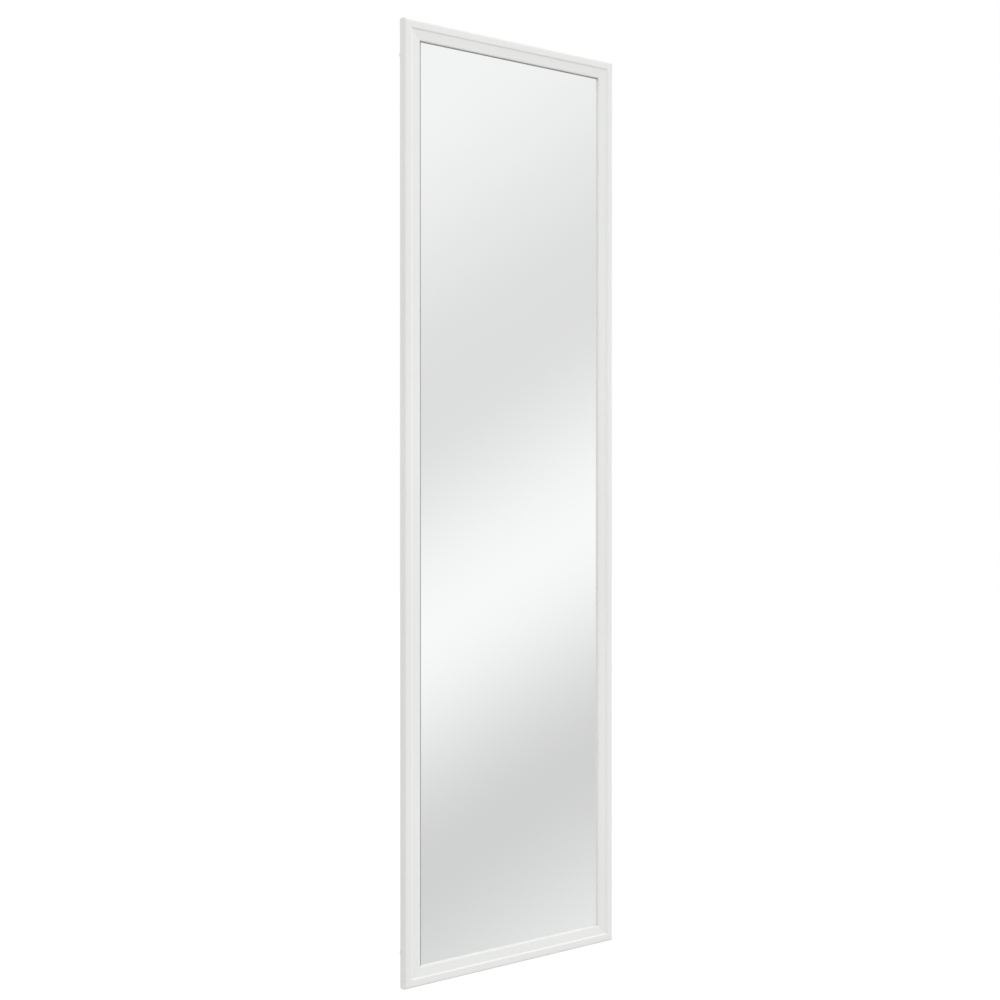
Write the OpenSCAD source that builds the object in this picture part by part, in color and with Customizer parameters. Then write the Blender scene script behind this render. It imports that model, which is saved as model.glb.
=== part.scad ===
// Over the door mirror: a mitred moulded frame round a full length pane, hung from two
// hooks that slide in channels behind the top rail. Millimetres, +Z up, front towards -Y.
// The origin is the middle of the bottom edge, on the plane of the door's face (Y = 0).

/* [Overall] */
// Width of the frame over its outer edges
frame_w = 355.6; // [300:0.1:460]
// Height of the frame over its outer edges
frame_h = 1270; // [900:0.5:1600]

/* [Moulding] */
// Face width of each frame member
rail_w = 25.5; // [24.5:0.1:31]
// Radius of the outer shoulder
shoulder_r = 3.4; // [1.5:0.1:4.5]
// Width of the outer band, from the outer edge to the step
outer_band_w = 10.2; // [7:0.1:12]
// Width of the soft step, an ogee between the outer and the inner band
step_w = 3; // [2.6:0.1:5]
// How far the step falls
step_drop = 1.1; // [0.6:0.1:2.5]
// How far the inner band falls on its way to the glass
band_dip = 0.9; // [0:0.1:1.5]
// Width of the nose that rolls over beside the glass
nose_w = 2.4; // [1:0.1:6]
// Height of the rolled part of the nose
nose_h = 0.7; // [0.5:0.1:3]
// Height of the upright wall between the nose and the glass
lip_wall = 2.7; // [0.4:0.1:4]
// Width of the rabbet that the pane lies in
rabbet_w = 6.5; // [4:0.1:7.5]

/* [Pane and backing] */
// Thickness of the mirror pane
glass_t = 2; // [2:0.5:4]
// Thickness of the hardboard backing
backing_t = 2.5; // [2:0.5:4]
// How far the backing lies in from the frame's back
back_recess = 1.3; // [0.9:0.1:2]
// Clearance round the pane and the backing
pane_gap = 0.8; // [0.3:0.1:1.5]
// Thickness of a glazing point
point_t = 0.5; // [0.4:0.1:0.6]
// Width of a glazing point
point_w = 10; // [6:0.5:14]
// How far a glazing point is driven into the rabbet's wall
point_bite = 4.5; // [3:0.5:6]
// How far a glazing point reaches over the backing
point_reach = 9; // [5:0.5:12]
// Distance from a corner to the nearest glazing point
point_inset = 120; // [60:1:140]
// Largest spacing between two glazing points
point_pitch = 260; // [120:5:300]

/* [Corner V nails] */
// Length of one leg of a V nail
vnail_leg = 5; // [3:0.5:6]
// Thickness of a V nail
vnail_t = 0.6; // [0.4:0.1:1]
// Depth that a V nail is driven to
vnail_h = 6; // [4:0.5:6.5]
// Distance of the outer V nail from the frame's edges
vnail_inset = 5; // [4:0.5:6]
// Distance between the two V nails of a corner, along each edge
vnail_step = 7; // [6:0.5:8]

/* [Bumpers] */
// Diameter of a rubber bumper
bumper_d = 14; // [10:0.5:18]
// Rounding round the edge of a bumper
bumper_edge_r = 1.2; // [0.3:0.1:2]
// Distance of a bumper's centre from the frame's top or bottom edge
bumper_inset = 45; // [30:1:120]

/* [Hooks] */
// Distance of each hook's middle from the frame's nearer side edge
hook_inset = 82.8; // [65:0.1:100]
// Thickest door that the hooks fit
door_t = 44.5; // [35:0.5:50]
// Play between that door and the hook's back leg
door_play = 1; // [0.5:0.1:3]
// Width of the hook's strap
strap_w = 20; // [16:0.5:26]
// Thickness of the hook's strap
strap_t = 1.5; // [1.2:0.1:2.5]
// Inside radius of the strap's bends
bend_r = 3; // [2:0.1:5]
// Height of the hook's back leg, tip included
back_leg_h = 35; // [25:1:60]
// Length of the tip that flares away from the door
flare_h = 7; // [4:0.5:10]
// How far the tip flares
flare_out = 3; // [1:0.5:5]
// Radius of the strap's corners
strap_corner_r = 3; // [1:0.5:5]
// How far each hook slides up out of its channel
hook_travel = 110; // [40:1:160]
// Metal left below the slot
slot_end_margin = 8; // [5:0.5:15]
// Distance from the frame's top edge down to the retracted hook's top
hook_drop = 2; // [0.5:0.5:6]
// Thickness of the foam strips inside the hook
pad_t = 1; // [0.8:0.1:3]
// How much narrower than the strap the foam strips are, on each side
pad_side_margin = 1; // [0.5:0.5:3]
// Length of the foam strip on the back leg
back_pad_h = 22; // [10:1:22]

/* [Hanger channels] */
// Thickness of the channel's sheet metal
channel_t = 1; // [0.8:0.1:1.5]
// Height of the channel along the hook
channel_h = 12; // [10:0.5:14]
// Side play of the strap in its channel
channel_play = 0.3; // [0.2:0.05:0.5]
// How far the channel's flanges stand past the strap
flange_lip = 0.5; // [0:0.1:0.8]
// Width of each screwed ear
ear_w = 12; // [9:0.5:16]
// Radius of the ears' corners
ear_corner_r = 2; // [0.5:0.5:3]
// Shank diameter of the countersunk channel screws
ear_screw_d = 3; // [2.5:0.1:3.5]
// How deep the channel screws go into the rail
ear_screw_bite = 5.5; // [3:0.5:6]

/* [Clamp screws] */
// Thread diameter of the clamp screw
clamp_d = 4; // [3:0.5:5]
// Thread pitch of the clamp screw
clamp_pitch = 0.7; // [0.5:0.05:0.8]
// Diameter of the clamp screw's head
clamp_head_d = 8; // [7:0.5:9]
// Height of the clamp screw's head
clamp_head_h = 1.8; // [1.6:0.1:3]
// Diameter of the clamp washer
washer_d = 12; // [10:0.5:14]
// Thickness of the clamp washer
washer_t = 0.8; // [0.5:0.1:1.5]
// Outer diameter of the threaded insert
insert_d = 6.5; // [6:0.5:8]
// Length of the threaded insert
insert_l = 6; // [4:0.5:6.5]
// Length of the screw's thread in the insert
clamp_bite = 5; // [3:0.5:5.5]
// Width of one bar of the cross recess in the head
recess_w = 0.9; // [0.6:0.1:1.2]
// Depth of the cross recess
recess_deep = 1.1; // [0.6:0.1:1.2]
// Clearance all round the clamp screw in the slot, the channel and the washer
clamp_play = 0.25; // [0.15:0.05:0.4]

/* [Hidden] */
$fn = 64;

// Running clearance between a thread, shank or insert and its hole, on the radius
thread_play = 0.05;
// Room left between a backed out clamp screw and the door
door_air = 0.2;
// Overshoot of a cutting tool past the face that it cuts
cut = 1;
// Length of a cross recess, as a share of its head's diameter
recess_span = 0.55;
// Depth of a countersunk screw's recess, as a share of its head's height
ear_recess_share = 0.6;

// Depths, measured forwards from the frame's back plane
glass_front = back_recess + backing_t + glass_t;
lip_t = lip_wall + nose_h;
nose_top = glass_front + lip_t;
inner_band_top = nose_top + band_dip;
rail_t = inner_band_top + step_drop;

// Two equal arcs, hill and hollow, make the step; each turns through this angle
step_r = (step_w * step_w + step_drop * step_drop) / (4 * step_drop);
step_turn = asin(step_w / 2 / step_r);

// The bumpers keep the clamp screws off the door, even one turn out
bumper_h = channel_t + strap_t + washer_t + clamp_head_h + clamp_pitch + door_air;
back_y = -bumper_h;
land_w = rail_w - rabbet_w;

// Heights of the hooks' parts, with the hooks retracted
hook_top = frame_h - hook_drop;
clamp_z = hook_top - strap_t - bend_r - clamp_play - washer_d / 2;
clamp_hole_r = clamp_d / 2 + clamp_play;
slot_low = clamp_z - hook_travel;
strap_low = slot_low - clamp_hole_r - slot_end_margin;

// Planes of the hook, measured from the door's face
strap_front = back_y + channel_t;
strap_back = strap_front + strap_t;
back_leg_y = door_t + door_play + pad_t;
hook_back = back_leg_y + strap_t;
outer_bend_r = bend_r + strap_t;
back_leg_low = hook_top - back_leg_h;

hook_x = frame_w / 2 - hook_inset;
channel_in = strap_w / 2 + channel_play;
channel_out = channel_in + channel_t;
ear_screw_x = channel_out + ear_w / 2;

// A square countersink, as deep as the channel's sheet metal, so the heads lie flush
ear_head_d = ear_screw_d + 2 * channel_t;

// Points of an elliptical arc, from angle a0 to angle a1 in n steps
function arc(cx, cy, rx, ry, a0, a1, n) =
    [for (i = [0:n]) let (a = a0 + (a1 - a0) * i / n) [cx + rx * cos(a), cy + ry * sin(a)]];

// Section of the moulding as [distance in from the outer edge, height above the back]
function moulding_outline() = concat(
    [[0, 0]],
    arc(shoulder_r, rail_t - shoulder_r, shoulder_r, shoulder_r, 180, 90, 12),
    arc(outer_band_w, rail_t - step_r, step_r, step_r, 90, 90 - step_turn, 5),
    arc(outer_band_w + step_w, inner_band_top + step_r, step_r, step_r,
        270 - step_turn, 270, 5),
    arc(rail_w - nose_w, nose_top - nose_h, nose_w, nose_h, 90, 0, 14),
    [[rail_w, glass_front], [land_w, glass_front], [land_w, 0]]);

// Sides of the frame, counted bottom, left, top, right
function side_len(k) = k % 2 == 0 ? frame_w : frame_h;

// Places the bottom side's pieces on side k
module on_side(k) {
    middle = [[0, 0, 0], [-frame_w / 2, 0, frame_h / 2], [0, 0, frame_h],
        [frame_w / 2, 0, frame_h / 2]];
    turn = [0, 90, 180, -90];
    translate(middle[k]) rotate([0, turn[k], 0]) children();
}

// One moulding of the given length along X, with both ends mitred
module moulding(length) {
    section = [for (p = moulding_outline()) [back_y - p[1], p[0]]];
    intersection() {
        translate([-length / 2, 0, 0])
            rotate([90, 0, 90]) linear_extrude(length) polygon(section);
        rotate([90, 0, 0]) linear_extrude(bumper_h + rail_t + cut)
            polygon([[-length / 2, 0], [length / 2, 0],
                [length / 2 - rail_w, rail_w], [-length / 2 + rail_w, rail_w]]);
    }
}

// Places of the glazing points along a side of the given length
function point_places(length) =
    let (span = length - 2 * point_inset, n = ceil(span / point_pitch))
    [for (i = [0:n]) -span / 2 + span * i / n];

// The glazing points of the bottom side, for a side of the given length
module points_along(length) {
    for (x = point_places(length))
        translate([x - point_w / 2, back_y - back_recess, land_w - point_bite])
            cube([point_w, point_t, point_bite + point_reach]);
}

// The V nails of the bottom side's left corner
module corner_nails(length) {
    for (i = [0:1])
        translate([-length / 2, back_y, 0]) translate((vnail_inset + vnail_step * i) * [1, 0, 1])
            rotate([90, 0, 0]) linear_extrude(vnail_h)
                polygon([[0, 0], [vnail_leg, 0], [vnail_leg, vnail_t], [vnail_t, vnail_t],
                    [vnail_t, vnail_leg], [0, vnail_leg]]);
}

// A mitred moulding on side k, with the cuts that its points and nails make
module member(k) {
    length = side_len(k);
    color("white") on_side(k) difference() {
        moulding(length);
        points_along(length);
        corner_nails(length);
        mirror([1, 0, 0]) corner_nails(length);
    }
}

module stile_left() { member(1); }

module stile_right() { member(3); }

module rail_bottom() { member(0); }

module rail_top() {
    color("white") difference() {
        member(2);
        for (side = [-1, 1]) {
            translate([side * hook_x, back_y, clamp_z])
                bore(insert_d / 2 + thread_play, insert_l);
            for (ear = [-1, 1])
                translate([side * hook_x + ear * ear_screw_x, back_y, clamp_z])
                    bore(ear_screw_d / 2 + thread_play, ear_screw_bite);
        }
    }
}

// A blind hole that runs forwards from the back plane
module bore(r, deep) {
    translate([0, cut, 0]) rotate([90, 0, 0]) cylinder(h = deep + cut, r = r);
}

// A board that fills the rabbet, from one depth to another
module board(deep, thick) {
    inset = land_w + pane_gap;
    translate([-frame_w / 2 + inset, back_y - deep - thick, inset])
        cube([frame_w - 2 * inset, thick, frame_h - 2 * inset]);
}

module mirror_glass() { color("lightsteelblue") board(back_recess + backing_t, glass_t); }

module backing_board() { color("peru") board(back_recess, backing_t); }

module glazing_points() {
    color("silver") for (k = [0:3]) on_side(k) points_along(side_len(k));
}

module corner_v_nails() {
    color("silver") for (k = [0:3]) on_side(k) corner_nails(side_len(k));
}

// A bumper on the left (-1) or right (1) stile, at the bottom (0) or the top (1)
module bumper(side, high) {
    x = side * (frame_w / 2 - land_w / 2);
    z = high == 1 ? frame_h - bumper_inset : bumper_inset;
    color("dimgray") translate([x, back_y, z]) rotate([-90, 0, 0]) rotate_extrude()
        polygon(concat([[0, 0], [bumper_d / 2, 0]],
            arc(bumper_d / 2 - bumper_edge_r, bumper_h - bumper_edge_r,
                bumper_edge_r, bumper_edge_r, 0, 90, 6),
            [[0, bumper_h]]));
}

module bumper_top_left() { bumper(-1, 1); }

module bumper_top_right() { bumper(1, 1); }

module bumper_bottom_left() { bumper(-1, 0); }

module bumper_bottom_right() { bumper(1, 0); }

// A flat rectangle with round corners, centred
module rounded_plate(w, h, r) {
    square([w - 2 * r, h], center = true);
    square([w, h - 2 * r], center = true);
    for (x = [-1, 1], y = [-1, 1])
        translate([x * (w / 2 - r), y * (h / 2 - r)]) circle(r);
}

// The stamped channel that guides a hook: base plate, two flanges and two screwed ears
module hanger_channel(side) {
    color("whitesmoke") translate([side * hook_x, back_y, clamp_z]) difference() {
        union() {
            rotate([-90, 0, 0]) linear_extrude(channel_t)
                rounded_plate(2 * (channel_out + ear_w), channel_h, ear_corner_r);
            for (flange = [-1, 1])
                translate([flange > 0 ? channel_in : -channel_out, 0, -channel_h / 2])
                    cube([channel_t, channel_t + strap_t + flange_lip, channel_h]);
        }
        translate([0, -cut, 0]) rotate([-90, 0, 0])
            cylinder(h = channel_t + 2 * cut, r = clamp_hole_r);
        for (ear = [-1, 1]) translate([ear * ear_screw_x, 0, 0]) {
            translate([0, -cut, 0]) rotate([-90, 0, 0])
                cylinder(h = channel_t + 2 * cut, d = ear_screw_d + 2 * thread_play);
            rotate([-90, 0, 0])
                cylinder(h = channel_t, d1 = ear_screw_d, d2 = ear_head_d);
        }
    }
}

module hanger_channel_left() { hanger_channel(-1); }

module hanger_channel_right() { hanger_channel(1); }

// Countersunk screws through the channels' ears, heads flush with the sheet metal
module channel_screws() {
    color("silver") for (side = [-1, 1], ear = [-1, 1])
        translate([side * hook_x + ear * ear_screw_x, back_y + channel_t, clamp_z])
            rotate([90, 0, 0]) difference() {
                union() {
                    cylinder(h = channel_t, d1 = ear_head_d, d2 = ear_screw_d);
                    cylinder(h = channel_t + ear_screw_bite, d = ear_screw_d);
                }
                cross_recess(ear_head_d * recess_span, channel_t * ear_recess_share);
            }
}

// A cross cut into a head whose top is the plane Z = 0, with the metal above it
module cross_recess(across, deep) {
    for (turn = [0, 90]) rotate([0, 0, turn])
        translate([-across / 2, -recess_w / 2, -cut]) cube([across, recess_w, deep + cut]);
}

// The threaded insert that the clamp screw turns in, flush with the rail's back
module clamp_insert(side) {
    color("gold") translate([side * hook_x, back_y, clamp_z]) rotate([90, 0, 0])
        difference() {
            cylinder(h = insert_l, d = insert_d);
            translate([0, 0, -cut]) cylinder(h = insert_l + 2 * cut, d = clamp_d + 2 * thread_play);
        }
}

module clamp_insert_left() { clamp_insert(-1); }

module clamp_insert_right() { clamp_insert(1); }

// A quarter of the strap's bend, up to the left (-1) or up to the right (1) of its centre
module bend_section(side) {
    intersection() {
        difference() {
            circle(outer_bend_r);
            circle(bend_r);
        }
        translate([side > 0 ? 0 : -outer_bend_r, 0]) square(outer_bend_r);
    }
}

// Side view of the hook as [distance behind the door's face, height]
module hook_section() {
    bend_z = hook_top - outer_bend_r;
    translate([strap_front, strap_low]) square([strap_t, bend_z - strap_low]);
    translate([strap_front + outer_bend_r, bend_z]) bend_section(-1);
    translate([strap_front + outer_bend_r, hook_top - strap_t])
        square([hook_back - strap_front - 2 * outer_bend_r, strap_t]);
    translate([hook_back - outer_bend_r, bend_z]) bend_section(1);
    translate([back_leg_y, back_leg_low + flare_h])
        square([strap_t, bend_z - back_leg_low - flare_h]);
    polygon([[back_leg_y, back_leg_low + flare_h], [back_leg_y + flare_out, back_leg_low],
        [hook_back + flare_out, back_leg_low], [hook_back, back_leg_low + flare_h]]);
}

// Cuts the two lower corners of a leg round; the leg lies between two Y planes
module corner_trim(low, y_from, y_to) {
    for (side = [-1, 1]) translate([side * strap_w / 2, y_from, low]) difference() {
        translate([-strap_corner_r, 0, -strap_corner_r])
            cube([2 * strap_corner_r, y_to - y_from, 2 * strap_corner_r]);
        translate([-side * strap_corner_r, -cut, strap_corner_r]) rotate([-90, 0, 0])
            cylinder(h = y_to - y_from + 2 * cut, r = strap_corner_r);
    }
}

// The bent and slotted strap that hooks over the door
module hook(side) {
    color("whitesmoke") translate([side * hook_x, 0, 0]) difference() {
        translate([-strap_w / 2, 0, 0])
            rotate([90, 0, 90]) linear_extrude(strap_w) hook_section();
        translate([0, strap_back + cut, 0]) rotate([90, 0, 0])
            linear_extrude(strap_t + 2 * cut) {
                translate([0, slot_low]) circle(clamp_hole_r);
                translate([0, clamp_z]) circle(clamp_hole_r);
                translate([-clamp_hole_r, slot_low]) square([2 * clamp_hole_r, hook_travel]);
            }
        corner_trim(strap_low, strap_front - cut, strap_back + cut);
        corner_trim(back_leg_low, back_leg_y - cut, hook_back + flare_out + cut);
    }
}

module hook_left() { hook(-1); }

module hook_right() { hook(1); }

// Foam strips inside the hook: one under the bridge and one on the back leg
module hook_pads(side) {
    pad_w = strap_w - 2 * pad_side_margin;
    bridge_from = strap_front + outer_bend_r;
    pad_low = hook_top - strap_t - pad_t;
    color("gainsboro") translate([side * hook_x - pad_w / 2, 0, 0]) {
        translate([0, bridge_from, pad_low])
            cube([pad_w, hook_back - outer_bend_r - bridge_from, pad_t]);
        translate([0, back_leg_y - pad_t, pad_low - bend_r - back_pad_h])
            cube([pad_w, pad_t, back_pad_h]);
    }
}

module hook_pads_left() { hook_pads(-1); }

module hook_pads_right() { hook_pads(1); }

// Places a clamp screw's pieces on the strap's back, pointing away from the frame
module on_strap(side) {
    translate([side * hook_x, strap_back, clamp_z]) rotate([-90, 0, 0]) children();
}

module clamp_washer(side) {
    color("silver") on_strap(side) difference() {
        cylinder(h = washer_t, d = washer_d);
        translate([0, 0, -cut]) cylinder(h = washer_t + 2 * cut, r = clamp_hole_r);
    }
}

module clamp_washer_left() { clamp_washer(-1); }

module clamp_washer_right() { clamp_washer(1); }

// Pan head screw with a cross recess; its threaded end lies in the insert
module clamp_screw(side) {
    shank = washer_t + strap_t + channel_t + clamp_bite;
    head_r = clamp_head_d / 2;
    crown = clamp_head_h / 2;
    color("silver") on_strap(side) translate([0, 0, washer_t]) difference() {
        rotate_extrude() polygon(concat(
            [[0, -shank], [clamp_d / 2, -shank], [clamp_d / 2, 0], [head_r, 0]],
            arc(0, clamp_head_h - crown, head_r, crown, 0, 90, 8)));
        translate([0, 0, clamp_head_h]) mirror([0, 0, 1])
            cross_recess(clamp_head_d * recess_span, recess_deep);
    }
}

module clamp_screw_left() { clamp_screw(-1); }

module clamp_screw_right() { clamp_screw(1); }

stile_left();
stile_right();
rail_top();
rail_bottom();
mirror_glass();
backing_board();
glazing_points();
corner_v_nails();
bumper_top_left();
bumper_top_right();
bumper_bottom_left();
bumper_bottom_right();
hanger_channel_left();
hanger_channel_right();
channel_screws();
clamp_insert_left();
clamp_insert_right();
hook_left();
hook_right();
hook_pads_left();
hook_pads_right();
clamp_washer_left();
clamp_washer_right();
clamp_screw_left();
clamp_screw_right();
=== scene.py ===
# %% [markdown]
# # Over the door mirror
# A full length mirror that hangs from two hooks over the top of a door. Its construction is
# fixed: model.glb holds every solid where the maker's drawing puts it. This lesson gives the
# pieces their finish, and makes anew the ones whose beauty is in their surface: the moulding,
# the pane, the backing and the small parts behind.

# %% Load the fixed frame
import math

import bmesh
import bpy
from mathutils import Matrix, Vector


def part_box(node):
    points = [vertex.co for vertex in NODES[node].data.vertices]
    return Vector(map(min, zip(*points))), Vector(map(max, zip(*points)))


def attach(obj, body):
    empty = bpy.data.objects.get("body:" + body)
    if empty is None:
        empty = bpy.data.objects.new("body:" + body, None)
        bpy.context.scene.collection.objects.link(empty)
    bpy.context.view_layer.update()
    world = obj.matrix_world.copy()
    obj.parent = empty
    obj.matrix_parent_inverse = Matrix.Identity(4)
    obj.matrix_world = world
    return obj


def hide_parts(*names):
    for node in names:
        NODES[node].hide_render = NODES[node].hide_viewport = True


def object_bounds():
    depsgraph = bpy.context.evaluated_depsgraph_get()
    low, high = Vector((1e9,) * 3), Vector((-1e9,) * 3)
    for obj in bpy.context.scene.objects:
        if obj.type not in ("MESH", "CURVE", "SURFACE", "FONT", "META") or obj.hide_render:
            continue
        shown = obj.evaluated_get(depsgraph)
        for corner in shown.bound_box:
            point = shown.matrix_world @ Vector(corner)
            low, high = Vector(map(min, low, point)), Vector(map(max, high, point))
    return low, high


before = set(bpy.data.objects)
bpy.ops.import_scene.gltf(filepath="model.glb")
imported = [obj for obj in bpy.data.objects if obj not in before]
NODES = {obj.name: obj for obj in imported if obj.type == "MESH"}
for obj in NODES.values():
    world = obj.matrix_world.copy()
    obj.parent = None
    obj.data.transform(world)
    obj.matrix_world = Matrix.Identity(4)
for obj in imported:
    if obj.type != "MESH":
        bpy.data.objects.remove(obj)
CAD_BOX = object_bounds()
MM = 0.001
SAME_POINT = 0.001 * MM

# %% [markdown]
# ## Camera
# A tall flat thing is best seen a little from one side: the frame's depth shows, and the
# upright edges stay upright when the camera looks level. The lens stands a little above the
# mirror's middle, so the view has to come down. A shift moves it without leaning any line,
# but it would also move every view from another side, so a dip of a third of a degree, too
# little to see, does half of the work.

# %% Look all but level from the front left
CAMERA_PLACE = Vector((-1.190, -1.6285, 0.6655))
CAMERA_TURN = math.radians(35.9)
CAMERA_DIP = math.radians(0.343)
CAMERA_SENSOR = 36
CAMERA_LENS = 52.42
CAMERA_SHIFT = (-0.0003, -0.0100)

view_data = bpy.data.cameras.new("camera")
view_data.sensor_width = CAMERA_SENSOR
view_data.lens = CAMERA_LENS
view_data.shift_x, view_data.shift_y = CAMERA_SHIFT
camera = bpy.data.objects.new("camera", view_data)
camera.location = CAMERA_PLACE
camera.rotation_euler = (math.radians(90) - CAMERA_DIP, 0, -CAMERA_TURN)
bpy.context.scene.collection.objects.link(camera)
bpy.context.scene.camera = camera
bpy.context.scene.view_settings.view_transform = "Standard"
print("camera stands", round(CAMERA_PLACE.length, 2), "m from the mirror's foot")

# %% [markdown]
# ## Helpers for materials
# Each finish is a small node tree on Object coordinates, which are metres in the part's own
# frame, so a grain keeps its real size on every piece. Painted images would do too, but each
# piece would have to be unwrapped for them. The same few nodes come back in every finish, so
# helpers add and wire a node, start a material, spread noise between two values, mix two
# tones, feed the shader and turn a height into bump.

# %% Add a node, start a material
def add(tree, kind, sockets=None, **settings):
    """Adds a node, sets its options, and fills or links the named sockets."""
    node = tree.nodes.new(kind)
    for key, value in settings.items():
        setattr(node, key, value)
    for key, value in (sockets or {}).items():
        if isinstance(value, bpy.types.NodeSocket):
            tree.links.new(value, node.inputs[key])
        else:
            node.inputs[key].default_value = value
    return node


def start_material(name, **shader):
    """A new material: returns it, its tree, its shader and its Object coordinates."""
    material = bpy.data.materials.new(name)
    material.use_nodes = True
    tree = material.node_tree
    surface = tree.nodes["Principled BSDF"]
    for key, value in shader.items():
        surface.inputs[key.replace("_", " ")].default_value = value
    place = add(tree, "ShaderNodeTexCoord").outputs["Object"]
    print("material:", name)
    return material, tree, surface, place


# %% Noise, colour and bump
NOISE_LOW, NOISE_HIGH = 0.3, 0.7


def spread(tree, place, ripples, low=0.0, high=1.0, detail=2.0):
    """Noise mapped from low to high; ripples a metre are one number or one for each axis."""
    scale = ripples if isinstance(ripples, tuple) else (ripples,) * 3
    stretched = add(tree, "ShaderNodeMapping", {"Vector": place, "Scale": scale})
    noise = add(tree, "ShaderNodeTexNoise",
                {"Vector": stretched.outputs["Vector"], "Scale": 1.0, "Detail": detail})
    mapped = add(tree, "ShaderNodeMapRange",
                 {"Value": noise.outputs["Fac"], "From Min": NOISE_LOW, "From Max": NOISE_HIGH,
                  "To Min": low, "To Max": high})
    return mapped.outputs["Result"]


def tint(tree, factor, tones):
    """Mixes two tones by a factor: 0 gives the first, 1 the second."""
    mix = add(tree, "ShaderNodeMix", data_type="RGBA")
    tree.links.new(factor, mix.inputs["Factor"])
    for socket, tone in zip("AB", tones):
        mix.inputs[socket].default_value = (*tone, 1)
    return mix.outputs["Result"]


def feed(tree, surface, colour, roughness):
    """Wires a colour and a roughness into the shader."""
    tree.links.new(colour, surface.inputs["Base Color"])
    tree.links.new(roughness, surface.inputs["Roughness"])


def emboss(tree, surface, height, deep):
    """Bump from a height of 0 to 1 that stands for so many metres."""
    bump = add(tree, "ShaderNodeBump", {"Height": height, "Distance": deep, "Strength": 1.0})
    tree.links.new(bump.outputs["Normal"], surface.inputs["Normal"])


print("noise is used from", NOISE_LOW, "to", NOISE_HIGH)

# %% [markdown]
# ## White plastic
# The frame is extruded plastic, the colour of warm paper, with a satin skin. The die leaves
# faint streaks along each length, so an upright and a level member need the same finish
# turned a quarter. One noise stretched along the member, a hundred and fifty times longer
# than wide, gives the streaks; grooves in the mesh would be far too fine to be worth it.

# %% Satin white, with die lines along one axis
PLASTIC_TONES = ((0.795, 0.805, 0.785), (0.825, 0.832, 0.815))
DIE_LINES_ACROSS = 900
DIE_LINES_ALONG = 6
DIE_LINES_DEEP = 0.006 * MM


def white_plastic(name, along):
    """Satin plastic whose streaks run along one axis: 0 for X, 2 for Z."""
    material, tree, surface, place = start_material(name, Specular_IOR_Level=0.4)
    streaks = tuple(DIE_LINES_ALONG if axis == along else DIE_LINES_ACROSS
                    for axis in range(3))
    tone = spread(tree, place, ripples=3)
    feed(tree, surface, tint(tree, tone, PLASTIC_TONES),
         spread(tree, place, ripples=60, low=0.36, high=0.44))
    emboss(tree, surface, spread(tree, place, streaks), DIE_LINES_DEEP)
    return material


PLASTIC_UPRIGHT = white_plastic("white_plastic_upright", along=2)
PLASTIC_LEVEL = white_plastic("white_plastic_level", along=0)

# %% [markdown]
# ## Making a piece
# Every new piece ends the same way: its mesh goes into an object at the origin, its faces are
# shaded smooth up to a crease angle, a Weighted Normal modifier keeps the broad faces flat
# beside their rounded edges, and it rides on the body that carries it. One function does all
# of this, so that no piece can miss a step.

# %% Finish a mesh as a piece
CREASE = math.radians(32)


def finish_piece(name, mesh_data, materials, body, replaced):
    """Turns a bmesh into a piece that rides on a body and stands for CAD nodes."""
    bmesh.ops.recalc_face_normals(mesh_data, faces=mesh_data.faces)
    mesh = bpy.data.meshes.new(name)
    mesh_data.to_mesh(mesh)
    mesh_data.free()
    mesh.shade_smooth()
    mesh.set_sharp_from_angle(angle=CREASE)
    for material in materials:
        mesh.materials.append(material)
    piece = bpy.data.objects.new(name, mesh)
    bpy.context.scene.collection.objects.link(piece)
    piece.modifiers.new("flat faces", "WEIGHTED_NORMAL").keep_sharp = True
    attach(piece, body)
    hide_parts(*replaced)
    print(name, "has", len(mesh.polygons), "faces")
    return piece


# %% [markdown]
# ## Frame members
# All four members are one moulding cut to length and mitred. A curve with a bevel profile
# could be drawn round the pane, but a closed loop has no separate lengths and no joint at its
# corners. So each member is made as a joiner makes it: a section swept along its length, then
# two cuts. The section starts as a few sharp corners, and the long edges are bevelled to the
# curves that the die has. The step between the bands is a slope whose two corners are rounded
# until they all but meet, which makes a soft S.

# %% Sizes of the moulding
STILE_LOW, STILE_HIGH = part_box("stile_left")
GLASS_LOW, GLASS_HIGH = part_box("mirror_glass")
WIDTH = CAD_BOX[1].x - CAD_BOX[0].x
HEIGHT = STILE_HIGH.z - STILE_LOW.z
FACE_W = STILE_HIGH.x - STILE_LOW.x
BACK_Y = STILE_HIGH.y
TALL = BACK_Y - STILE_LOW.y
GLASS_H = BACK_Y - GLASS_LOW.y
SHOULDER_R = 3.4 * MM
BAND_W = 10.2 * MM
STEP_W = 3.0 * MM
STEP_DROP = 1.1 * MM
STEP_SHARE = 0.98
BAND_DIP = 0.9 * MM
NOSE_W = 2.4 * MM
LIP_WALL = 2.7 * MM
RABBET_W = 6.5 * MM
ARRIS = 0.2 * MM
HAIRLINE = 0.03 * MM
print("member", round(FACE_W / MM, 1), "wide,", round(TALL / MM, 1), "deep")

# %% Corners of the section: how far inward from the outer edge, how tall above the back
STEP_FOOT = BAND_W + STEP_W
STEP_HALF_TURN = math.atan2(STEP_DROP, STEP_W)
# Each arc of the S turns by twice that angle, and its corner lies this far from its two ends.
STEP_REACH = STEP_W / 4 / math.cos(STEP_HALF_TURN) ** 2
INNER_TALL = TALL - STEP_DROP
INNER_SLOPE = BAND_DIP / (FACE_W - NOSE_W - STEP_FOOT)
NOSE_TALL = INNER_TALL - INNER_SLOPE * (FACE_W - STEP_FOOT)
NOSE_DROP = NOSE_TALL - GLASS_H - LIP_WALL

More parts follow.
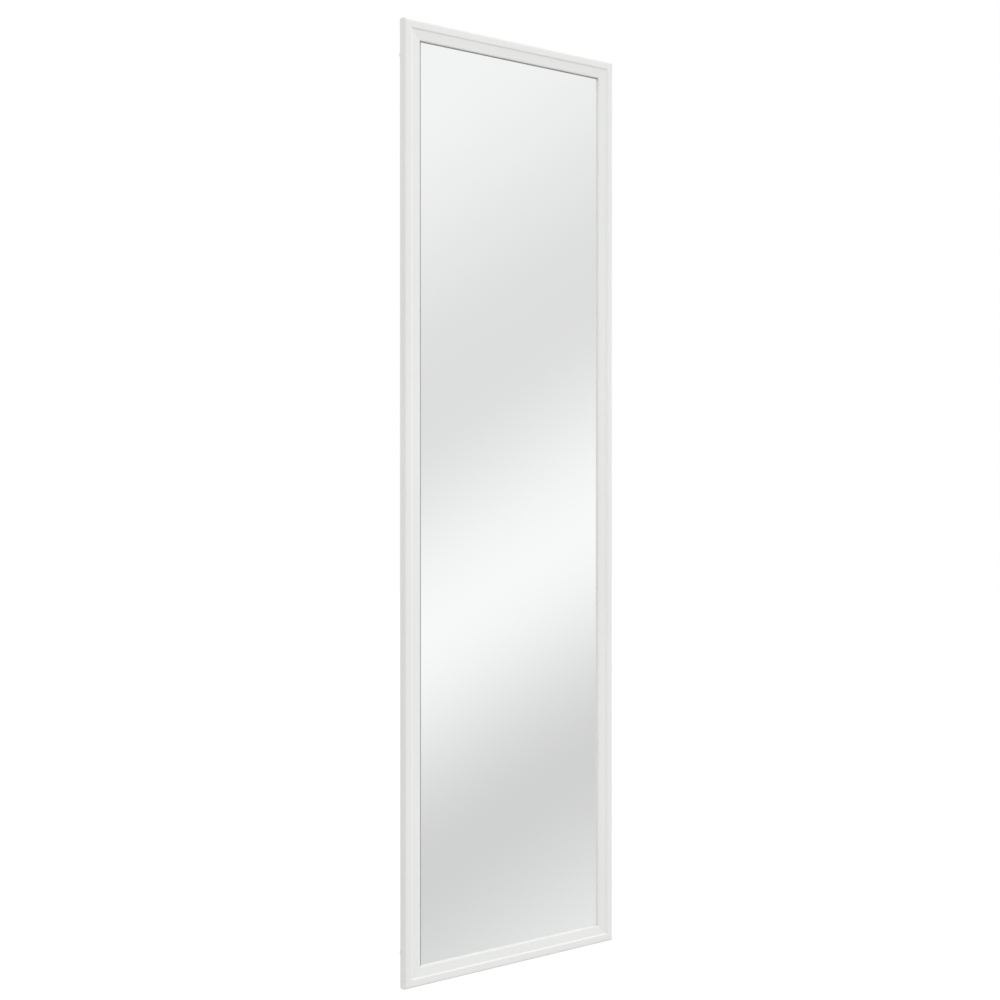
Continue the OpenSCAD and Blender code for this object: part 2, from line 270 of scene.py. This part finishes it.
OUTER_ARRIS = (0, 0)
SHOULDER = (0, TALL)
STEP_HIGH = (BAND_W + STEP_REACH, TALL)
STEP_LOW = (STEP_FOOT - STEP_REACH, INNER_TALL)
NOSE = (FACE_W, NOSE_TALL)
LIP = (FACE_W, GLASS_H)
SEAT = (FACE_W - RABBET_W, GLASS_H)
INNER_ARRIS = (FACE_W - RABBET_W, 0)
SECTION = [OUTER_ARRIS, SHOULDER, STEP_HIGH, STEP_LOW, NOSE, LIP, SEAT, INNER_ARRIS]
print("section:", [(round(inward / MM, 1), round(tall / MM, 1)) for inward, tall in SECTION])


# %% Pick the long edges at one corner, and round them
def long_edges(mesh_data, inward, tall):
    """The edges along X that run through one corner of the section."""
    corner = Vector((0, BACK_Y - tall, inward))
    return [e for e in mesh_data.edges
            if all((Vector((0, *v.co.yz)) - corner).length < SAME_POINT for v in e.verts)]


def round_over(mesh_data, edges, reach, segments):
    """Rounds edges; the curve starts at this reach from each, its radius at a right angle."""
    bmesh.ops.bevel(mesh_data, geom=edges, offset=reach, offset_type="OFFSET",
                    segments=segments, profile=0.5, affect="EDGES", material=-1)


# %% [markdown]
# The nose beside the glass is wider than it is deep, and a bevel gives only round curves. So
# the section is stretched until that curve is round, bevelled, and let back. It has to be the
# first curve, because the stretch would spoil one made before it.

# %% Sweep the section and bevel its long edges
def square_member(length):
    """One member of the bottom side, its outer edge at Z = 0, with square ends."""
    member = bmesh.new()
    section = member.faces.new([member.verts.new((-length / 2, BACK_Y - tall, inward))
                                for inward, tall in SECTION])
    swept = bmesh.ops.extrude_face_region(member, geom=[section])
    far_end = [v for v in swept["geom"] if isinstance(v, bmesh.types.BMVert)]
    bmesh.ops.translate(member, verts=far_end, vec=(length, 0, 0))

    nose_edge = long_edges(member, *NOSE)
    stretch = Vector((1, NOSE_W / NOSE_DROP, 1))
    bmesh.ops.scale(member, vec=stretch, verts=member.verts)
    round_over(member, nose_edge, NOSE_W, segments=16)
    bmesh.ops.scale(member, vec=Vector((1 / s for s in stretch)), verts=member.verts)
    round_over(member, long_edges(member, *SHOULDER), SHOULDER_R, segments=14)
    for corner in (STEP_HIGH, STEP_LOW):
        round_over(member, long_edges(member, *corner), STEP_REACH * STEP_SHARE, segments=6)
    for corner in (OUTER_ARRIS, LIP, INNER_ARRIS):
        round_over(member, long_edges(member, *corner), ARRIS, segments=2)
    return member


# %% Cut the mitres, a hairline short
def mitre(member, length):
    """Cuts both ends at 45 degrees and closes them."""
    for end in (-1, 1):
        geometry = member.verts[:] + member.edges[:] + member.faces[:]
        bmesh.ops.bisect_plane(member, geom=geometry, clear_outer=True,
                               plane_co=(end * (length / 2 - HAIRLINE), 0, 0),
                               plane_no=(end, 0, 1))
        rim = [e for e in member.edges if e.is_boundary]
        bmesh.ops.edgeloop_fill(member, edges=rim)


print("gap in each mitre:", round(2 * HAIRLINE / MM, 2), "mm along the side")

# %% The four members: turn about Y, length, middle of the outer edge, finish
SIDES = {"rail_bottom": (0, WIDTH, Vector((0, 0, 0)), PLASTIC_LEVEL),
         "stile_left": (90, HEIGHT, Vector((-WIDTH / 2, 0, HEIGHT / 2)), PLASTIC_UPRIGHT),
         "rail_top": (180, WIDTH, Vector((0, 0, HEIGHT)), PLASTIC_LEVEL),
         "stile_right": (-90, HEIGHT, Vector((WIDTH / 2, 0, HEIGHT / 2)), PLASTIC_UPRIGHT)}
TURNS = {turn: Matrix.Rotation(math.radians(turn), 4, "Y") for turn in (0, 90, 180, -90)}

for node, (turn, length, middle, material) in SIDES.items():
    member = square_member(length)
    mitre(member, length)
    bmesh.ops.transform(member, matrix=Matrix.Translation(middle) @ TURNS[turn],
                        verts=member.verts)
    finish_piece(node + "_moulding", member, [material], "mirror", [node])

# %% [markdown]
# ## The pane
# Silvered float glass shows no surface of its own: what it shows is the room. Clear glass over
# a silver layer would be true to life, but it costs many bounces of light and looks the same,
# so the shader is a bright metal with hardly any roughness. The pane's cut edges, hidden in
# the rabbet, are dark grey. At the left and along the top a narrow dark grey strip is painted
# on the pane beside the frame's lip: painted shade, for the dark line where the lip meets the
# glass.

# %% Mirror silver, and the painted shade strip
SILVER_TONES = ((0.925, 0.935, 0.93), (0.935, 0.942, 0.94))
# Painted shade: the dark grey of the strip beside the frame's lip at the left and along the
# top.
PAINTED_SHADE_TONES = ((0.32, 0.325, 0.32), (0.37, 0.375, 0.37))


def mirror_silver():
    """Bright silver, so smooth that its roughness can only just be told."""
    material, tree, surface, place = start_material("mirror_silver", Metallic=1.0)
    tone = spread(tree, place, ripples=2)
    feed(tree, surface, tint(tree, tone, SILVER_TONES),
         spread(tree, place, ripples=25, low=0.012, high=0.022, detail=4))
    return material


def painted_shade_glass():
    """Painted shade: the dark grey of the strip beside the lip, also put on the pane's cut
    edges.
    """
    material, tree, surface, place = start_material("painted_shade_margin",
                                                    Specular_IOR_Level=0.3)
    tone = spread(tree, place, ripples=150)
    feed(tree, surface, tint(tree, tone, PAINTED_SHADE_TONES),
         spread(tree, place, ripples=400, low=0.5, high=0.6))
    return material


PANE_FINISHES = [mirror_silver(), painted_shade_glass()]
SILVERED, PAINTED_SHADE = 0, 1


# %% Cut the painted shade strips into the pane's face
def add_box(mesh_data, low, high):
    """Adds a box from corner to corner and returns its eight points."""
    verts = bmesh.ops.create_cube(mesh_data, size=1.0)["verts"]
    bmesh.ops.scale(mesh_data, vec=high - low, verts=verts)
    bmesh.ops.translate(mesh_data, vec=(low + high) / 2, verts=verts)
    return verts


# How far the painted shade strip reaches inward from the frame's inner edge.
SHADE_STRIP_LEFT = 3.2 * MM
SHADE_STRIP_TOP = 1.4 * MM
silver_left = -WIDTH / 2 + FACE_W + SHADE_STRIP_LEFT
silver_top = HEIGHT - FACE_W - SHADE_STRIP_TOP

pane = bmesh.new()
add_box(pane, GLASS_LOW, GLASS_HIGH)
for point, normal in (((silver_left, 0, 0), (1, 0, 0)), ((0, 0, silver_top), (0, 0, 1))):
    bmesh.ops.bisect_plane(pane, geom=pane.verts[:] + pane.edges[:] + pane.faces[:],
                           plane_co=point, plane_no=normal)
for face in pane.faces:
    middle = face.calc_center_median()
    at_edge = abs(face.normal.y) < 0.5
    # Painted shade on the strips at the left and top; the pane's hidden cut edges get the same
    # grey.
    painted_shade_or_edge = at_edge or middle.x < silver_left or middle.z > silver_top
    face.material_index = PAINTED_SHADE if painted_shade_or_edge else SILVERED
finish_piece("mirror_pane", pane, PANE_FINISHES, "mirror",
             ["mirror_glass"])

# %% [markdown]
# ## Backing board
# A sheet of hardboard closes the frame from behind. It is pressed wood fibre, brown and a
# little shiny on its smooth side, with darker and paler flecks and a sanded edge. A box with
# its edges eased is the whole shape; the fibre comes from noise at three scales, which costs
# nothing in the mesh.

# %% Hardboard
HARDBOARD_TONES = ((0.27, 0.155, 0.085), (0.34, 0.205, 0.115))
FLECK_TONES = ((0.72, 0.70, 0.66), (1.0, 1.0, 1.0))
FLECK_DEEP = 0.03 * MM


def hardboard():
    """Brown clouds, darkened by flecks that are longer along Z than across."""
    material, tree, surface, place = start_material("hardboard_fibre",
                                                    Specular_IOR_Level=0.35)
    cloud = spread(tree, place, ripples=12, detail=5)
    fleck = spread(tree, place, ripples=(420, 420, 140), detail=4)
    brown = add(tree, "ShaderNodeMix", {"Factor": fleck}, data_type="RGBA",
                blend_type="MULTIPLY")
    tree.links.new(tint(tree, cloud, HARDBOARD_TONES), brown.inputs["A"])
    tree.links.new(tint(tree, fleck, FLECK_TONES), brown.inputs["B"])
    feed(tree, surface, brown.outputs["Result"],
         spread(tree, place, ripples=90, low=0.42, high=0.62))
    emboss(tree, surface, fleck, FLECK_DEEP)
    return material


# %% A box with eased edges, and the board
def add_eased_box(mesh_data, low, high, radius, segments=2):
    """Adds a box from corner to corner, with all its edges rounded."""
    verts = add_box(mesh_data, low, high)
    edges = dict.fromkeys(edge for vert in verts for edge in vert.link_edges)
    round_over(mesh_data, list(edges), radius, segments)


BOARD_EDGE_R = 0.3 * MM

board = bmesh.new()
add_eased_box(board, *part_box("backing_board"), BOARD_EDGE_R)
finish_piece("hardboard_back", board, [hardboard()], "mirror",
             ["backing_board"])

# %% [markdown]
# ## Glazing points and V nails
# Two small steel fastenings are driven in from behind. Glazing points are thin tabs whose
# rounded tongue presses on the backing. V nails pull each mitre together, and only their
# edges show, a hair above the plastic. Each kind is one shape copied to many places. The
# places could be typed in again, but then they could disagree with the fixed frame, so they
# are read from it: every separate solid there marks one copy.

# %% Zinc plated steel
ZINC_TONES = ((0.58, 0.59, 0.60), (0.70, 0.71, 0.72))
ZINC_GRAIN_DEEP = 0.004 * MM


def zinc_steel():
    """Bright plating over a fine rolled grain along Z."""
    material, tree, surface, place = start_material("zinc_steel", Metallic=1.0)
    tone = spread(tree, place, ripples=220, detail=3)
    feed(tree, surface, tint(tree, tone, ZINC_TONES),
         spread(tree, place, ripples=500, low=0.26, high=0.42, detail=3))
    emboss(tree, surface, spread(tree, place, ripples=(1800, 1800, 300)), ZINC_GRAIN_DEEP)
    return material


ZINC = zinc_steel()


# %% Find the separate solids of a node
def solids_of(node):
    """Lowest and highest corner of each separate solid of a CAD node."""
    copy = bmesh.new()
    copy.from_mesh(NODES[node].data)
    bmesh.ops.remove_doubles(copy, verts=copy.verts, dist=SAME_POINT)
    unseen = set(copy.verts)
    corners = []
    while unseen:
        frontier = [unseen.pop()]
        low, high = frontier[0].co.copy(), frontier[0].co.copy()
        while frontier:
            vert = frontier.pop()
            low = Vector(map(min, low, vert.co))
            high = Vector(map(max, high, vert.co))
            near = {edge.other_vert(vert) for edge in vert.link_edges} & unseen
            unseen -= near
            frontier.extend(near)
        corners.append((low, high))
    copy.free()
    return sorted(corners, key=lambda pair: [round(c / MM, 2) for c in (*pair[0], *pair[1])])


tabs = solids_of("glazing_points")
nails = solids_of("corner_v_nails")
print(len(tabs), "glazing points and", len(nails), "V nails")


# %% Cut a plate, and copy a shape
def plate(outline, thick):
    """A flat plate: an outline of (x, z) points at Y = 0, extruded towards -Y."""
    shape = bmesh.new()
    face = shape.faces.new([shape.verts.new((x, 0, z)) for x, z in outline])
    grown = bmesh.ops.extrude_face_region(shape, geom=[face])["geom"]
    far = [v for v in grown if isinstance(v, bmesh.types.BMVert)]
    bmesh.ops.translate(shape, verts=far, vec=(0, -thick, 0))
    return shape


def copied(shape, places):
    """The shape once for each matrix, in one bmesh."""
    pattern = bpy.data.meshes.new("pattern")
    shape.to_mesh(pattern)
    shape.free()
    group = bmesh.new()
    for placed in places:
        count = len(group.verts)
        group.from_mesh(pattern)
        bmesh.ops.transform(group, matrix=placed, verts=group.verts[count:])
    bpy.data.meshes.remove(pattern)
    return group


# %% Glazing points
TAB_R = 3.0 * MM
BARB = 2.0 * MM


def glazing_point(across, long, thick):
    """Pointed end at Z = 0, in the moulding; rounded tongue up, over the backing."""
    shape = plate([(-across / 2, BARB), (0, 0), (across / 2, BARB), (across / 2, long),
                   (-across / 2, long)], thick)
    corners = [e for e in shape.edges if all(abs(v.co.z - long) < SAME_POINT for v in e.verts)
               and abs(e.verts[0].co.y - e.verts[1].co.y) > thick / 2]
    round_over(shape, corners, TAB_R, segments=8)
    return shape


def driven_in(low, high):
    """Where a glazing point goes: its barb at the outer end, its tongue towards the middle."""
    middle = (low + high) / 2
    if high.z - low.z > high.x - low.x:
        turn, end = (0, low.z) if middle.z < HEIGHT / 2 else (180, high.z)
        return Matrix.Translation((middle.x, high.y, end)) @ TURNS[turn]
    turn, end = (90, low.x) if middle.x < 0 else (-90, high.x)
    return Matrix.Translation((end, high.y, middle.z)) @ TURNS[turn]


size = tabs[0][1] - tabs[0][0]
shape = glazing_point(min(size.x, size.z), max(size.x, size.z), size.y)
finish_piece("steel_glazing_points", copied(shape, [driven_in(*tab) for tab in tabs]),
             [ZINC], "mirror", ["glazing_points"])

# %% V nails
NAIL_T = 0.6 * MM
NAIL_PROUD = 0.05 * MM
CORNER_TURN = {(-1, -1): 0, (-1, 1): 90, (1, 1): 180, (1, -1): -90}


def v_nail(leg, deep):
    """Two legs along X and Z, the corner at the origin."""
    return plate([(0, 0), (leg, 0), (leg, NAIL_T), (NAIL_T, NAIL_T), (NAIL_T, leg), (0, leg)],
                 deep)


def across_mitre(low, high):
    """Where a V nail goes: its corner points at the nearest corner of the frame."""
    middle = (low + high) / 2
    side = (1 if middle.x > 0 else -1, 1 if middle.z > HEIGHT / 2 else -1)
    corner = (high.x if side[0] > 0 else low.x, high.y + NAIL_PROUD,
              high.z if side[1] > 0 else low.z)
    return Matrix.Translation(corner) @ TURNS[CORNER_TURN[side]]


size = nails[0][1] - nails[0][0]
shape = v_nail(size.x, size.y)
finish_piece("steel_v_nails", copied(shape, [across_mitre(*nail) for nail in nails]),
             [ZINC], "mirror", ["corner_v_nails"])

# %% [markdown]
# ## Rubber bumpers
# Four round feet keep the frame off the door. They are moulded rubber: a soft rim, and a
# shallow dimple in the end, which grips by suction. Stacked cylinders could be joined to make
# one, but a profile spun round an axis gives the shape at once; the rim and the dimple are
# rounded afterwards, where the radius is easy to change.

# %% Moulded rubber
RUBBER_TONES = ((0.58, 0.58, 0.565), (0.64, 0.64, 0.625))
RUBBER_GRAIN_DEEP = 0.01 * MM


def moulded_rubber():
    """Dull grey rubber with the fine grain of its mould."""
    material, tree, surface, place = start_material("moulded_rubber", Specular_IOR_Level=0.35)
    tone = spread(tree, place, ripples=300, detail=4)
    feed(tree, surface, tint(tree, tone, RUBBER_TONES),
         spread(tree, place, ripples=900, low=0.62, high=0.8))
    emboss(tree, surface, spread(tree, place, ripples=2500), RUBBER_GRAIN_DEEP)
    return material


RUBBER = moulded_rubber()

# %% Spin the bumpers
BUMPER_RIM_R = 1.2 * MM
BUMPER_STEPS = 48
DIMPLE_R = 2.8 * MM
DIMPLE_DEEP = 0.5 * MM
ON_RING = 0.01 * MM


def spun(profile, middle):
    """A closed shape of revolution about Y, from (radius, y) points."""
    shape = bmesh.new()
    chain = [shape.verts.new((middle.x + radius, y, middle.z)) for radius, y in profile]
    edges = [shape.edges.new(pair) for pair in zip(chain, chain[1:])]
    bmesh.ops.spin(shape, geom=chain + edges, cent=(middle.x, 0, middle.z), axis=(0, 1, 0),
                   dvec=(0, 0, 0), angle=math.tau, steps=BUMPER_STEPS, use_merge=True)
    bmesh.ops.remove_doubles(shape, verts=shape.verts, dist=SAME_POINT)
    return shape


def ring(shape, middle, radius, y):
    """The edges of one ring of a spun shape."""
    def on_ring(vert):
        out = math.hypot(vert.co.x - middle.x, vert.co.z - middle.z)
        return abs(out - radius) < ON_RING and abs(vert.co.y - y) < ON_RING
    return [edge for edge in shape.edges if all(map(on_ring, edge.verts))]


for node in ("bumper_top_left", "bumper_top_right", "bumper_bottom_left",
             "bumper_bottom_right"):
    low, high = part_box(node)
    middle, radius = (low + high) / 2, (high.x - low.x) / 2
    dimple_y = high.y - DIMPLE_DEEP
    foot = spun([(0, low.y), (radius, low.y), (radius, high.y), (DIMPLE_R, high.y),
                 (DIMPLE_R, dimple_y), (0, dimple_y)], middle)
    round_over(foot, ring(foot, middle, radius, high.y), BUMPER_RIM_R, segments=6)
    round_over(foot, ring(foot, middle, DIMPLE_R, high.y), DIMPLE_DEEP / 2, segments=3)
    round_over(foot, ring(foot, middle, DIMPLE_R, dimple_y), DIMPLE_DEEP / 2, segments=3)
    bmesh.ops.remove_doubles(foot, verts=foot.verts, dist=SAME_POINT)
    finish_piece("rubber_" + node, foot, [RUBBER], "mirror", [node])

# %% [markdown]
# ## Foam strips
# Thin foam inside each hook keeps the steel off the door's paint. It is cut from a sheet, so
# its faces are flat, but its edges are soft and its cells show as tiny pits. A thick pad would
# be swollen by a cloth simulation; a strip this thin, stuck down all over, stays flat, so a
# box with soft edges is truer.

# %% Closed cell foam
# Painted shade: the darker tone goes in the bottom of each pit, and the paler one on the walls
# between.
FOAM_PIT_SHADE_TONES = ((0.60, 0.60, 0.585), (0.74, 0.74, 0.725))
FOAM_CELLS = 2600
PIT_FLOOR, PIT_RIM = 0.05, 0.5
PIT_DEEP = 0.08 * MM


def foam_cells():
    """A pit in the middle of each cell, bumped in, and made darker than the walls between by
    painted shade.
    """
    material, tree, surface, place = start_material("closed_cell_foam",
                                                    Specular_IOR_Level=0.15)
    cells = add(tree, "ShaderNodeTexVoronoi", {"Vector": place, "Scale": FOAM_CELLS})
    pit = add(tree, "ShaderNodeMapRange",
              {"Value": cells.outputs["Distance"], "From Min": PIT_FLOOR, "From Max": PIT_RIM})
    feed(tree, surface, tint(tree, pit.outputs["Result"], FOAM_PIT_SHADE_TONES),
         spread(tree, place, ripples=800, low=0.85, high=0.97))
    emboss(tree, surface, pit.outputs["Result"], PIT_DEEP)
    return material


FOAM = foam_cells()

# %% Foam on the hooks
FOAM_EDGE_R = 0.35 * MM

for side in ("left", "right"):
    strips = bmesh.new()
    for low, high in solids_of("hook_pads_" + side):
        add_eased_box(strips, low, high, FOAM_EDGE_R, segments=3)
    pads = finish_piece("foam_strips_" + side, strips, [FOAM], "hook_" + side,
                        ["hook_pads_" + side])

# %% [markdown]
# ## Hooks, channels, inserts, screws and washers
# The shapes of the sheet steel and the turned parts are right as the frame has them: bends,
# slots, countersinks and recesses. What they lack is the soft edge that tumbling and powder
# coat leave. To model them again only for that would risk their sizes. A chain of modifiers
# adds it without touching a mesh: Weld joins the loose triangles, Decimate dissolves the flat
# ones, Bevel eases the edges, a second Weld closes up where two eased edges meet, and
# Weighted Normal keeps the broad faces flat.

# %% Powder coat and brass
COAT_TONES = ((0.775, 0.78, 0.77), (0.805, 0.81, 0.80))
COAT_RIPPLE_DEEP = 0.02 * MM
BRASS_TONES = ((0.66, 0.47, 0.20), (0.76, 0.57, 0.28))


def powder_coat():
    """White coat with the faint ripple of an orange skin."""
    material, tree, surface, place = start_material("white_powder_coat",
                                                    Specular_IOR_Level=0.5)
    tone = spread(tree, place, ripples=20)
    feed(tree, surface, tint(tree, tone, COAT_TONES),
         spread(tree, place, ripples=120, low=0.30, high=0.42))
    emboss(tree, surface, spread(tree, place, ripples=650), COAT_RIPPLE_DEEP)
    return material


def turned_brass():
    """Brass whose gloss changes in rings along Y, as a lathe leaves it."""
    material, tree, surface, place = start_material("turned_brass", Metallic=1.0)
    tone = spread(tree, place, ripples=300)
    feed(tree, surface, tint(tree, tone, BRASS_TONES),
         spread(tree, place, ripples=(400, 2500, 400), low=0.22, high=0.38))
    return material


COATED, BRASS = powder_coat(), turned_brass()

# %% Ease the edges of the steel and brass parts, each by its own width
WELD_GAP = 0.0005 * MM
FLAT_ANGLE = math.radians(1)
EASED_ANGLE = math.radians(35)
PAIRED_PARTS = {"hook": (COATED, 0.15 * MM), "hanger_channel": (COATED, 0.12 * MM),
                "clamp_washer": (ZINC, 0.08 * MM), "clamp_screw": (ZINC, 0.06 * MM),
                "clamp_insert": (BRASS, 0.08 * MM)}
METAL_PARTS = {kind + "_" + side: finish for kind, finish in PAIRED_PARTS.items()
               for side in ("left", "right")}
METAL_PARTS["channel_screws"] = (ZINC, 0.06 * MM)


def coat(part, material):
    """Gives a CAD node its finish."""
    part.data.materials.clear()
    part.data.materials.append(material)


def ease_edges(part, width):
    """Rounds a CAD node's edges by modifiers, its mesh left alone."""
    part.modifiers.new("join triangles", "WELD").merge_threshold = WELD_GAP
    flat = part.modifiers.new("one face a plane", "DECIMATE")
    flat.decimate_type = "DISSOLVE"
    flat.angle_limit = FLAT_ANGLE
    soft = part.modifiers.new("eased edges", "BEVEL")
    soft.width = width
    soft.segments = 2
    soft.limit_method = "ANGLE"
    soft.angle_limit = EASED_ANGLE
    soft.harden_normals = True
    part.modifiers.new("join rims that meet", "WELD").merge_threshold = WELD_GAP
    part.modifiers.new("flat faces", "WEIGHTED_NORMAL").keep_sharp = True


for node, (material, width) in METAL_PARTS.items():
    coat(NODES[node], material)
    ease_edges(NODES[node], width)
print("metal parts:", ", ".join(METAL_PARTS))

# %% [markdown]
# ## What the glass shows
# A mirror is lit by what it faces. Real cards and lamps could stand in front of it, but they
# would have to be far larger than the mirror, and they would light the frame too. So glossy
# rays get a sky of their own: slow sweeps of white and light grey, stacked along an axis that
# leans to the left of the view. Only the crests and troughs are given, each with its place
# from 0, straight down that axis, to 1, straight up, and its level. An eased ramp runs
# smoothly from one to the next; it is born with a stop at either end.

# %% Crests and troughs of the sweeps
SWEEP_TILT = math.radians(33)
SWEEPS = [(0.00, 0.80), (0.20, 0.74), (0.335, 0.925), (0.405, 0.68), (0.47, 1.00),
          (0.535, 0.775), (0.625, 0.955), (0.75, 0.78), (0.87, 0.92), (1.00, 0.85)]


def grey(level):
    """A grey with full opacity, as a node's colour socket wants it."""
    return (level, level, level, 1)


def sweep_colour(sky):
    """The grey of the sky in each direction, as a node output."""
    right = Vector((math.cos(CAMERA_TURN), math.sin(CAMERA_TURN), 0))
    axis = math.cos(SWEEP_TILT) * Vector((0, 0, 1)) - math.sin(SWEEP_TILT) * right
    direction = add(sky, "ShaderNodeTexCoord").outputs["Generated"]
    along = add(sky, "ShaderNodeVectorMath", {0: direction, 1: axis}, operation="DOT_PRODUCT")
    share = add(sky, "ShaderNodeMapRange", {"Value": along.outputs["Value"], "From Min": -1.0})
    ramp = add(sky, "ShaderNodeValToRGB", {"Fac": share.outputs["Result"]})
    ramp.color_ramp.interpolation = "EASE"
    stops = ramp.color_ramp.elements
    for position, _ in SWEEPS[1:-1]:
        stops.new(position)
    for stop, (_, level) in zip(stops, SWEEPS):
        stop.color = grey(level)
    return ramp.outputs["Color"]


print(len(SWEEPS), "crests and troughs")

# %% [markdown]
# ## The world
# Around the mirror there is one even glow, and the camera sees plain white. The matt lamps
# don't show in the glass, so the light that the glass throws on the inner walls of the frame
# would be too weak: for such rays, which have bounced off a matt face before, the sweeps are
# stronger.

# %% World: plain white to the eye, soft sweeps in the glass
AMBIENT = 0.78
GLASS_RETURN = 1.5

world = bpy.data.worlds.new("studio")
world.use_nodes = True
bpy.context.scene.world = world
sky = world.node_tree
sky.nodes.clear()
path = add(sky, "ShaderNodeLightPath")
by_glass = add(sky, "ShaderNodeMapRange", {"Value": path.outputs["Diffuse Depth"],
                                           "To Min": 1.0, "To Max": GLASS_RETURN})
glow = add(sky, "ShaderNodeBackground", {"Color": grey(AMBIENT)})
sweeps = add(sky, "ShaderNodeBackground", {"Color": sweep_colour(sky),
                                           "Strength": by_glass.outputs["Result"]})
white = add(sky, "ShaderNodeBackground", {"Color": grey(1)})
lit = add(sky, "ShaderNodeMixShader", {0: path.outputs["Is Glossy Ray"],
                                       1: glow.outputs[0], 2: sweeps.outputs[0]})
seen = add(sky, "ShaderNodeMixShader", {0: path.outputs["Is Camera Ray"],
                                        1: lit.outputs[0], 2: white.outputs[0]})
add(sky, "ShaderNodeOutputWorld", {"Surface": seen.outputs[0]})
print("world:", len(sky.nodes), "nodes")

# %% [markdown]
# ## The floor
# The mirror hangs on a door, so the floor lies well below it. It has to look as white as the
# background, yet a white floor would throw too much light up. So its paint is a middle grey,
# and a glow that only the camera sees makes up the rest. The glass doesn't show it.

# %% Floor, well below the hung mirror
FLOOR_Z = -0.55
FLOOR_REACH = 12
FLOOR_TONES = ((0.50, 0.50, 0.50), (0.51, 0.51, 0.51))
FLOOR_GLOW = 0.50


def floor_paint():
    """Middle grey, with a white glow for the camera alone."""
    material, tree, surface, place = start_material("floor_paint", Roughness=0.9,
                                                    Specular_IOR_Level=0.0)
    tone = spread(tree, place, ripples=1)
    tree.links.new(tint(tree, tone, FLOOR_TONES), surface.inputs["Base Color"])
    to_camera = add(tree, "ShaderNodeLightPath").outputs["Is Camera Ray"]
    glow = add(tree, "ShaderNodeMath", {0: to_camera, 1: FLOOR_GLOW}, operation="MULTIPLY")
    surface.inputs["Emission Color"].default_value = grey(1)
    tree.links.new(glow.outputs[0], surface.inputs["Emission Strength"])
    return material


floor_mesh = bmesh.new()
bmesh.ops.create_grid(floor_mesh, x_segments=1, y_segments=1, size=FLOOR_REACH)
bmesh.ops.translate(floor_mesh, vec=(0, 0, FLOOR_Z), verts=floor_mesh.verts)
floor_data = bpy.data.meshes.new("floor")
floor_mesh.to_mesh(floor_data)
floor_mesh.free()
floor_data.materials.append(floor_paint())
floor = bpy.data.objects.new("floor", floor_data)
bpy.context.scene.collection.objects.link(floor)
floor.visible_glossy = False
print("floor at", FLOOR_Z, "m")

# %% [markdown]
# ## The lamps
# The light is soft, as in a white studio: a key that grazes from the upper right and models
# the steps, a broader fill from the front left, and one behind for the hooks. A fourth lamp,
# far to the right, is seen by glossy rays alone and draws a thin gleam on the rounded edges.
# Near lamps would light the top of so tall a thing more than its foot, so all four are as far
# off as the sun, and are wide to keep the shadows soft.

# %% Four lamps: the way to each, its strength, its width in degrees, and what it reaches
LAMPS = {"key": ((0.60, -0.38, 0.67), 1.14, 30, "matt"),
         "fill": ((-0.48, -0.82, 0.30), 0.59, 60, "matt"),
         "edge": ((0.97, -0.15, 0.10), 0.50, 30, "glossy"),
         "back": ((-0.25, 0.93, 0.25), 0.72, 40, "matt")}
LAMP_FAR = 4

for name, (way, strength, degrees, reaches) in LAMPS.items():
    lamp = bpy.data.lights.new(name, "SUN")
    lamp.energy = strength
    lamp.angle = math.radians(degrees)
    stand = bpy.data.objects.new(name, lamp)
    stand.location = LAMP_FAR * Vector(way)
    stand.rotation_euler = Vector(way).to_track_quat("Z", "Y").to_euler()
    stand.visible_diffuse = (reaches == "matt")
    stand.visible_glossy = (reaches == "glossy")
    bpy.context.scene.collection.objects.link(stand)
print("lamps:", ", ".join(LAMPS))

# %% [markdown]
# ## The end

# %% Finish
print("scene built")
